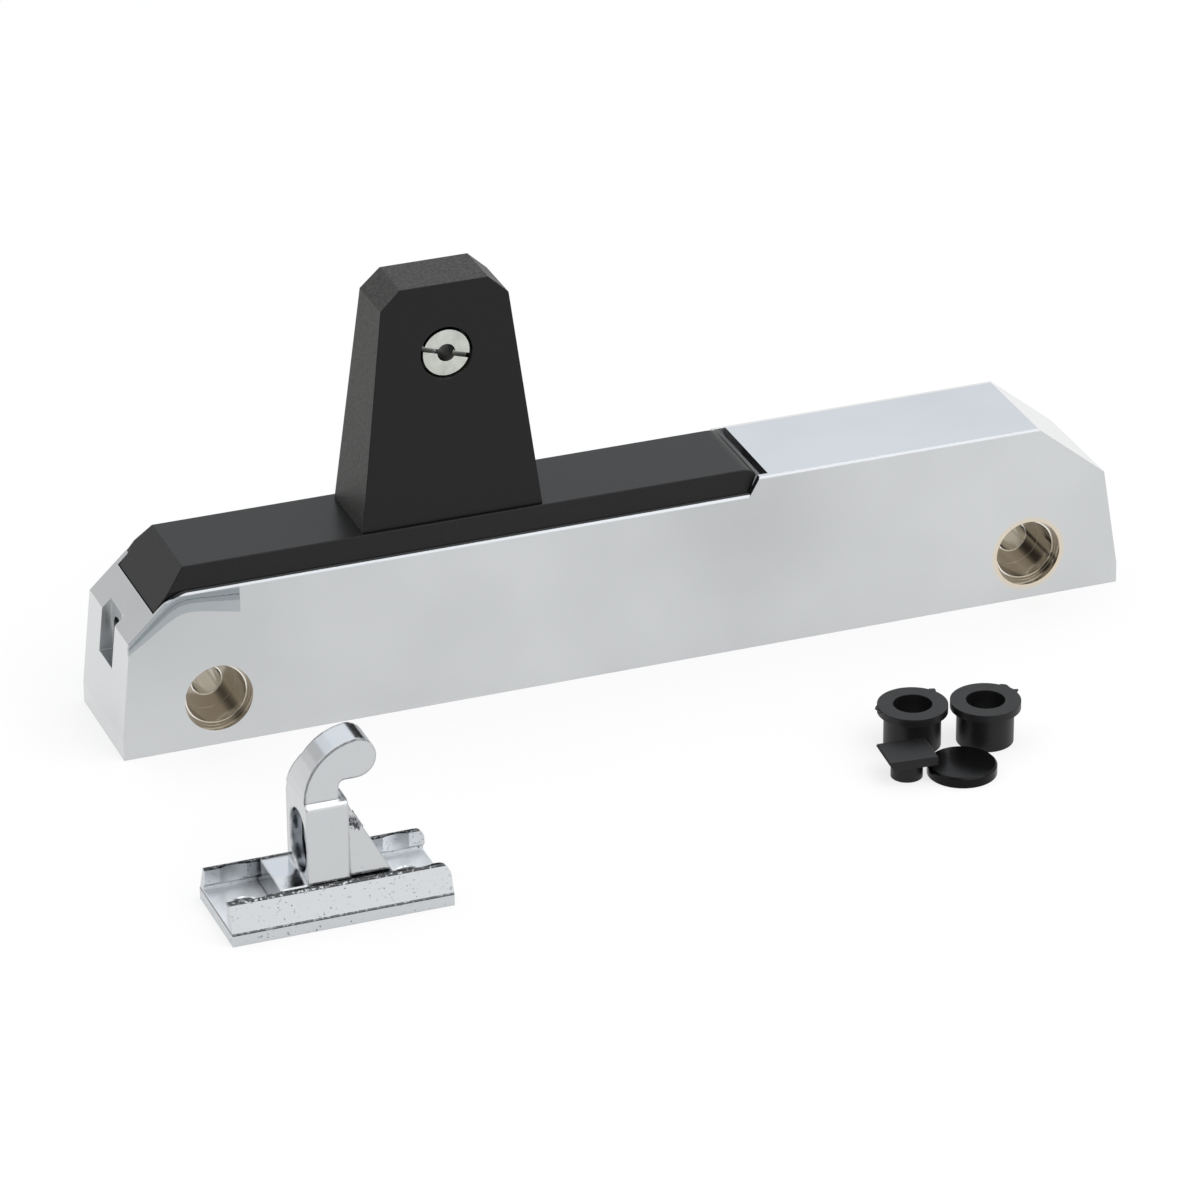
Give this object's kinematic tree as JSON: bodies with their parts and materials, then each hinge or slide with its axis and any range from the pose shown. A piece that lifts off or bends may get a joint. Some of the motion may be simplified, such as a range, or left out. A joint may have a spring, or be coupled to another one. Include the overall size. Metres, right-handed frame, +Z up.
{
  "type": "cold room door handle",
  "caption": "Rocker-lever cold room door handle in a long chromed housing with a black paddle, its adjustable hook striker and its loose bushes, cap and plug.",
  "frame": {"origin": "midway between the two fixing holes, on the face that lies on the door", "axes": "+X along the housing towards its raised deck, +Y into the door, +Z up towards the paddle"},
  "size_m": [0.304, 0.147, 0.123],
  "materials": {
    "chrome_casting": "chrome-plated zinc die casting, lightly polished",
    "striker_chrome": "chrome-plated zinc die casting, left as cast",
    "satin_black_moulding": "satin black moulding",
    "grained_black_moulding": "matte black moulding with a fine grain",
    "zinc_core": "bare zinc die casting",
    "ground_steel": "ground steel",
    "zinc_plated_steel": "bright zinc-plated steel",
    "spring_steel": "drawn spring wire",
    "turned_steel": "turned bare metal",
    "natural_nylon": "natural nylon",
    "buffer_rubber": "moulded rubber",
    "black_plastic": "semi-gloss black moulding"
  },
  "bodies": {
    "handle_body": {"housing": "chrome_casting", "pivot_shaft": "ground_steel", "shaft_clips": "spring_steel", "guide_plate": "zinc_plated_steel", "guide_screws": "zinc_plated_steel", "bolt_buffers": "buffer_rubber", "return_spring_left": "spring_steel", "return_spring_right": "spring_steel"},
    "lever": {"lever_core": "zinc_core", "pivot_bushes": "natural_nylon", "lever_bar": "satin_black_moulding", "bar_screws": "zinc_plated_steel", "paddle": "grained_black_moulding", "release_bush": "turned_steel"},
    "bolt": {"latch_bolt": "zinc_plated_steel"},
    "striker": {"striker_base": "striker_chrome"},
    "striker_slider": {"striker_hook": "striker_chrome", "clamp_screw": "zinc_plated_steel", "clamp_nut": "zinc_plated_steel"},
    "left_bush": {"flanged_bush_left": "black_plastic"},
    "right_bush": {"flanged_bush_right": "black_plastic"},
    "cap": {"cap_disc": "black_plastic"},
    "plug": {"lock_plug": "black_plastic"}
  },
  "joints": [
    {"name": "lever_pivot", "type": "hinge", "parent": "handle_body", "child": "lever", "pos_m": [0, -0.0184, 0.031], "axis": [1, 0, 0], "range_deg": [0, 22], "stiffness_Nm_per_rad": 1.5, "springref_deg": -17.19, "deforming": ["return_spring_left", "return_spring_right"]},
    {"name": "bolt_slide", "type": "slide", "parent": "handle_body", "child": "bolt", "axis": [0, 0, 1], "range_m": [0, 0.0047]},
    {"name": "striker_lift", "type": "slide", "parent": "handle_body", "child": "striker", "axis": [0, 0, 1], "range_m": [0, 0.03]},
    {"name": "hook_adjust", "type": "slide", "parent": "striker", "child": "striker_slider", "axis": [1, 0, 0], "range_m": [-0.005, 0.005]},
    {"name": "left_bush_lift", "type": "slide", "parent": "handle_body", "child": "left_bush", "axis": [0, 0, 1], "range_m": [0, 0.03]},
    {"name": "right_bush_lift", "type": "slide", "parent": "handle_body", "child": "right_bush", "axis": [0, 0, 1], "range_m": [0, 0.03]},
    {"name": "cap_slide", "type": "slide", "parent": "handle_body", "child": "cap", "axis": [0, -1, 0], "range_m": [0, 0.03]},
    {"name": "plug_lift", "type": "slide", "parent": "handle_body", "child": "plug", "axis": [0, 0, 1], "range_m": [0, 0.03]}
  ],
  "couplings": [
    {"joint": "bolt_slide", "follows": "lever_pivot", "m_per_rad": 0.011964}
  ]
}
